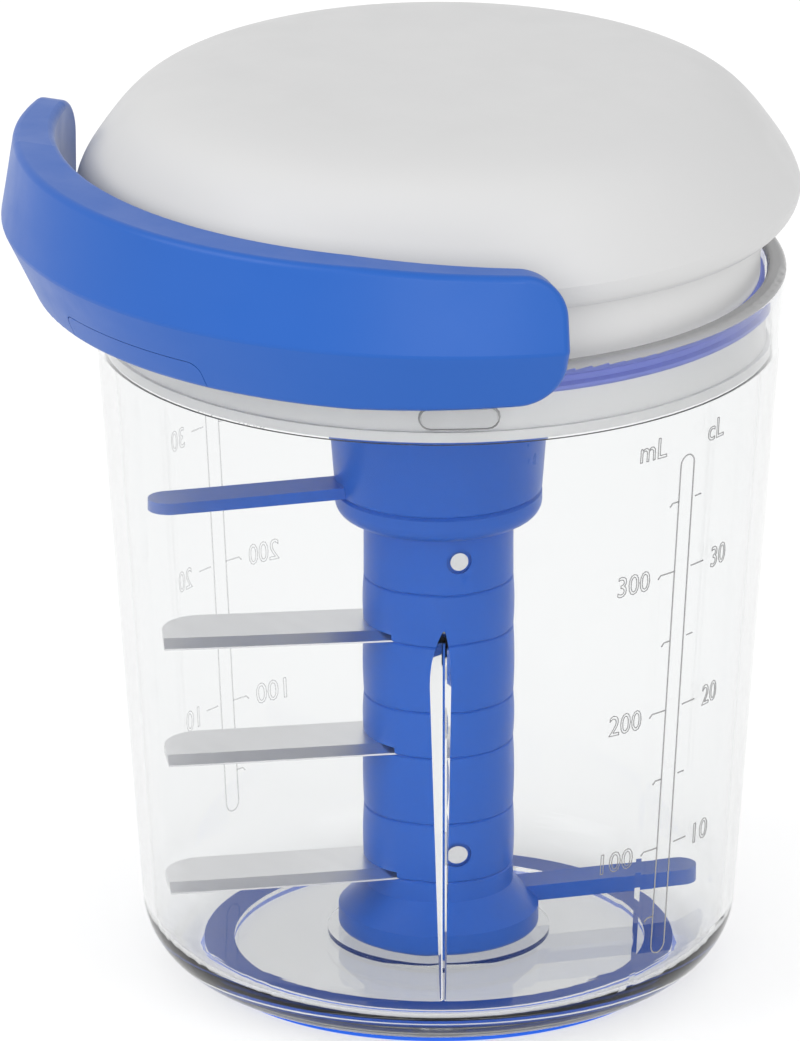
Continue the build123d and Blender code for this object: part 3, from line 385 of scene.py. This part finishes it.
# painted light: the foot ring glows faintly in its own blue
FOOT_BLUE_PAINTED_GLOW = rubber("foot_blue_painted_glow", (0.002, 0.100, 0.64), (0.002, 0.090, 0.59), 0.5, painted_glow=0.32)
SEAL_BLUE = rubber("seal_blue", (0.24, 0.29, 0.78), (0.22, 0.27, 0.74), 0.5)
GREY = moulded_plastic("grey_plastic", (0.30, 0.31, 0.33), (0.26, 0.27, 0.29), 0.45)
# the marks are real raised shapes on the wall; drawing them as grey lines along their edges is
# painted shade for the dark edges they show
NEAR_MARKS_PAINTED_SHADE, FAR_MARKS_PAINTED_SHADE = (
    moulded_plastic(name, (0.34, 0.34, 0.34), (0.31, 0.31, 0.315), 0.3, cover=cover)
    for name, cover in (("raised_marks_painted_shade", 0.75), ("faint_marks_painted_shade", 0.2))
)
BLADE = ground_steel(
    "blade_steel", (0.78, 0.78, 0.79), 0.32, (40, 500, 500), grain=0.002, spread=0.02
)
TURNED = ground_steel("turned_steel", (0.72, 0.72, 0.73), 0.18, (200, 200, 2500))
SPRING = ground_steel("spring_steel", (0.30, 0.30, 0.32), 0.35, (100, 100, 1800))
BRASS = ground_steel("brass", (0.72, 0.48, 0.20), 0.28, (200, 200, 2500))
CORD = braided_cord("cord", (0.80, 0.80, 0.78), (0.45, 0.46, 0.48))

BY_SLOT = {
    "clear_plastic": CLEAR,
    "white_plastic": WHITE,
    "handle_blue": HANDLE_BLUE,
    "blade_stack_blue": STACK_BLUE,
    "blue_rubber": FOOT_BLUE_PAINTED_GLOW,
    "seal_rubber": SEAL_BLUE,
    "grey_plastic": GREY,
    "steel": BLADE,
    "bright_steel": TURNED,
    "spring_steel": SPRING,
    "brass": BRASS,
    "cord": CORD,
}

for part in frame["record"]["subparts"]:
    mesh = nodes[part["node"]].data
    mesh.materials.clear()
    mesh.materials.append(BY_SLOT[part["material_slot"]])
# the lid's base takes the white with painted light at its foot
nodes["lid_base"].data.materials[0] = NECK_WHITE_PAINTED_LIGHT

# the foot ring is moulded onto the bowl, so no air shows between them; the band at the rim gets a
# grey, rough, half-clear plastic, a painted shade
bowl_mesh = nodes["bowl"].data
bowl_mesh.materials.append(CLEAR_BONDED)
bowl_mesh.materials.append(CLEAR_RIM_PAINTED_SHADE)
for face in bowl_mesh.polygons:
    middle = face.center
    reach = (middle.x ** 2 + middle.y ** 2) ** 0.5
    if RING_INNER < reach < RING_OUTER and RING_TOP < middle.z < RING_TOP + RING_TOP_SPAN:
        face.material_index = 1
    elif middle.z > WALL_HIGH_Z - RIM_SHADE_BAND:
        face.material_index = 2

# ---------------------------------------------------------------------------------------
# Lines on the bowl's wall
# ---------------------------------------------------------------------------------------

def on_wall(scale_angle, along, height, lift=0.0):
    """A point on the bowl's outer wall: along it from a scale's axis, up it, and off it."""
    rise = (height - WALL_LOW_Z) / (WALL_HIGH_Z - WALL_LOW_Z)
    radius = WALL_LOW_RADIUS + (WALL_HIGH_RADIUS - WALL_LOW_RADIUS) * rise
    turn = radians(scale_angle) + along / radius
    return Vector(((radius + lift) * cos(turn), (radius + lift) * sin(turn), height))


def add_tube(vertices, faces, route, radius, sides=6):
    """Appends a tube along a list of points, closed at both ends."""
    first = len(vertices)
    for index, point in enumerate(route):
        back = route[max(index - 1, 0)]
        ahead = route[min(index + 1, len(route) - 1)]
        along = (ahead - back).normalized()
        across = along.cross(Vector((point.x, point.y, 0))).normalized()
        outward = across.cross(along)
        for side in range(sides):
            turn = 2 * pi * side / sides
            vertices.append(point + radius * (cos(turn) * across + sin(turn) * outward))
    for ring in range(len(route) - 1):
        for side in range(sides):
            corner = first + ring * sides + side
            beside = first + ring * sides + (side + 1) % sides
            faces.append((corner, beside, beside + sides, corner + sides))
    faces.append(tuple(first + side for side in reversed(range(sides))))
    faces.append(tuple(first + (len(route) - 1) * sides + side for side in range(sides)))


def new_piece(name, vertices, faces, material):
    """A smooth piece of the scene that belongs to the bowl."""
    mesh = bpy.data.meshes.new(name)
    mesh.from_pydata(vertices, [], faces)
    mesh.polygons.foreach_set("use_smooth", [True] * len(mesh.polygons))
    mesh.materials.append(material)
    piece = bpy.data.objects.new(name, mesh)
    bpy.context.scene.collection.objects.link(piece)
    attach(piece, "bowl")


def fine(route):
    """The same route with more points, so that it can follow the wall."""
    points = []
    for (u0, z0), (u1, z1) in zip(route, route[1:]):
        steps = max(1, int(((u1 - u0) ** 2 + (z1 - z0) ** 2) ** 0.5 / LONGEST_STEP + ALMOST_ONE))
        points += [(u0 + (u1 - u0) * k / steps, z0 + (z1 - z0) * k / steps) for k in range(steps)]
    return points + route[-1:]


# ---------------------------------------------------------------------------------------
# Capacity marks
# ---------------------------------------------------------------------------------------

def volume_z(millilitres):
    """Height of a capacity mark."""
    return FIFTY_Z + FIFTY_STEP * (millilitres - 50) / 50


def frame_route():
    """The round-ended frame, as (along, height) pairs from its lower left corner and round."""
    route = []
    for low_end, middle in ((False, FRAME_HIGH - FRAME_HALF_WIDTH),
                            (True, FRAME_LOW + FRAME_HALF_WIDTH)):
        for step in range(HALF_ROUND_STEPS + 1):
            turn = pi - pi * step / HALF_ROUND_STEPS + (pi if low_end else 0)
            route.append((FRAME_HALF_WIDTH * cos(turn), middle + FRAME_HALF_WIDTH * sin(turn)))
    return route + route[:1]


def make_scale(name, scale_angle, material):
    """The frame of a scale, with its marks to both sides."""
    vertices, faces = [], []

    def draw(route):
        points = [on_wall(scale_angle, along, height) for along, height in fine(route)]
        add_tube(vertices, faces, points, MARK_RADIUS)

    draw(frame_route())
    for millilitres in range(50, 400, 50):
        height = volume_z(millilitres)
        even = millilitres % 100 == 0
        left_end = -FRAME_HALF_WIDTH - (LEFT_LONG if even else LEFT_SHORT)
        draw([
            (-FRAME_HALF_WIDTH, height),
            (left_end + TICK_HOOK, height),
            (left_end, height - TICK_HOOK),
        ])
        right_start = FRAME_HALF_WIDTH + RIGHT_GAP
        if millilitres > 50:
            right_end = right_start + (RIGHT_LONG if even else RIGHT_SHORT)
            draw([(right_start, height), (right_end, height)])
    new_piece(name, vertices, faces, material)


def make_figures(name, scale_angle, text, middle, height, size, material):
    """Outlined figures of a given width and height, laid on the wall."""
    curve = bpy.data.curves.new(name, "FONT")
    curve.body = text
    curve.fill_mode = "NONE"
    curve.resolution_u = 3
    drawn = bpy.data.objects.new(name, curve)
    bpy.context.scene.collection.objects.link(drawn)
    outline = bpy.data.meshes.new_from_object(
        drawn.evaluated_get(bpy.context.evaluated_depsgraph_get())
    )
    bpy.data.objects.remove(drawn)
    flat = [vertex.co.copy() for vertex in outline.vertices]
    low = Vector((min(p.x for p in flat), min(p.y for p in flat)))
    high = Vector((max(p.x for p in flat), max(p.y for p in flat)))
    points = []
    for place in flat:
        along = middle + size[0] * ((place.x - low.x) / (high.x - low.x) - 0.5)
        up = height + size[1] * ((place.y - low.y) / (high.y - low.y) - 0.5)
        points.append(on_wall(scale_angle, along, up))
    vertices, faces = [], []
    for edge in outline.edges:
        start, end = (points[index] for index in edge.vertices)
        add_tube(vertices, faces, [start, end], DIGIT_LINE, sides=5)
    bpy.data.meshes.remove(outline)
    new_piece(name, vertices, faces, material)


for side, (scale_angle, material) in enumerate(zip(SCALE_ANGLES, (NEAR_MARKS_PAINTED_SHADE, FAR_MARKS_PAINTED_SHADE))):
    make_scale(f"scale_{side}", scale_angle, material)
    for millilitres in (100, 200, 300):
        height = volume_z(millilitres) - DIGIT_DROP
        make_figures(f"ml_{millilitres}_{side}", scale_angle, str(millilitres),
                     ML_PLACE, height, (3 * DIGIT_WIDTH, DIGIT_HEIGHT), material)
        make_figures(f"cl_{millilitres // 10}_{side}", scale_angle, str(millilitres // 10),
                     CL_PLACE, height, (2 * DIGIT_WIDTH, DIGIT_HEIGHT), material)
    for unit, (middle, width) in (("mL", ML_UNIT), ("cL", CL_UNIT)):
        make_figures(f"unit_{unit}_{side}", scale_angle, unit, middle, UNIT_Z,
                     (width, UNIT_HEIGHT), material)

# ---------------------------------------------------------------------------------------
# Painted shade: grey outlines along the lozenge pads' edges
# ---------------------------------------------------------------------------------------

def make_pad_edges(name, angle, material):
    """Grey lines at the edges of a lozenge pad, one at its foot and one round its face: painted
    shade for the dark outline of its moulded edges.
    """
    vertices, faces = [], []
    for length, height, lift in (PAD_FOOT, PAD_FACE):
        route = []
        for side in (1, -1):
            for step in range(HALF_ROUND_STEPS + 1):
                turn = side * (pi / 2 - pi * step / HALF_ROUND_STEPS)
                route.append((
                    side * (length - height) / 2 + height / 2 * side * abs(cos(turn)),
                    PAD_Z + height / 2 * sin(turn),
                ))
        points = [on_wall(angle, along, z, lift) for along, z in fine(route + route[:1])]
        add_tube(vertices, faces, points, PAD_LINE)
    new_piece(name, vertices, faces, material)


for side, angle in enumerate(PAD_ANGLES):
    make_pad_edges(f"pad_edges_{side}", angle, NEAR_MARKS_PAINTED_SHADE)

# ---------------------------------------------------------------------------------------
# Cord between lid and handle
# ---------------------------------------------------------------------------------------

cord_vertices, cord_faces = [], []
cord_ys = (CORD_START_Y, CORD_LEAVES_LID_Y, CORD_MEETS_HANDLE_Y, CORD_END_Y)
for y in cord_ys:
    for side in range(CORD_SIDES):
        turn = 2 * pi * side / CORD_SIDES
        cord_vertices.append((CORD_RADIUS * cos(turn), y, CORD_Z + CORD_RADIUS * sin(turn)))
for ring in range(len(cord_ys) - 1):
    for side in range(CORD_SIDES):
        corner = ring * CORD_SIDES + side
        beside = ring * CORD_SIDES + (side + 1) % CORD_SIDES
        cord_faces.append((corner, corner + CORD_SIDES, beside + CORD_SIDES, beside))
cord_faces.append(tuple(range(CORD_SIDES)))
cord_faces.append(tuple(reversed(range(len(cord_vertices) - CORD_SIDES, len(cord_vertices)))))
cord_mesh = bpy.data.meshes.new("cord_run")
cord_mesh.from_pydata(cord_vertices, [], cord_faces)
cord_mesh.materials.append(CORD)
cord_run = bpy.data.objects.new("cord_run", cord_mesh)
bpy.context.scene.collection.objects.link(cord_run)
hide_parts("pull_cord")
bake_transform(cord_run)
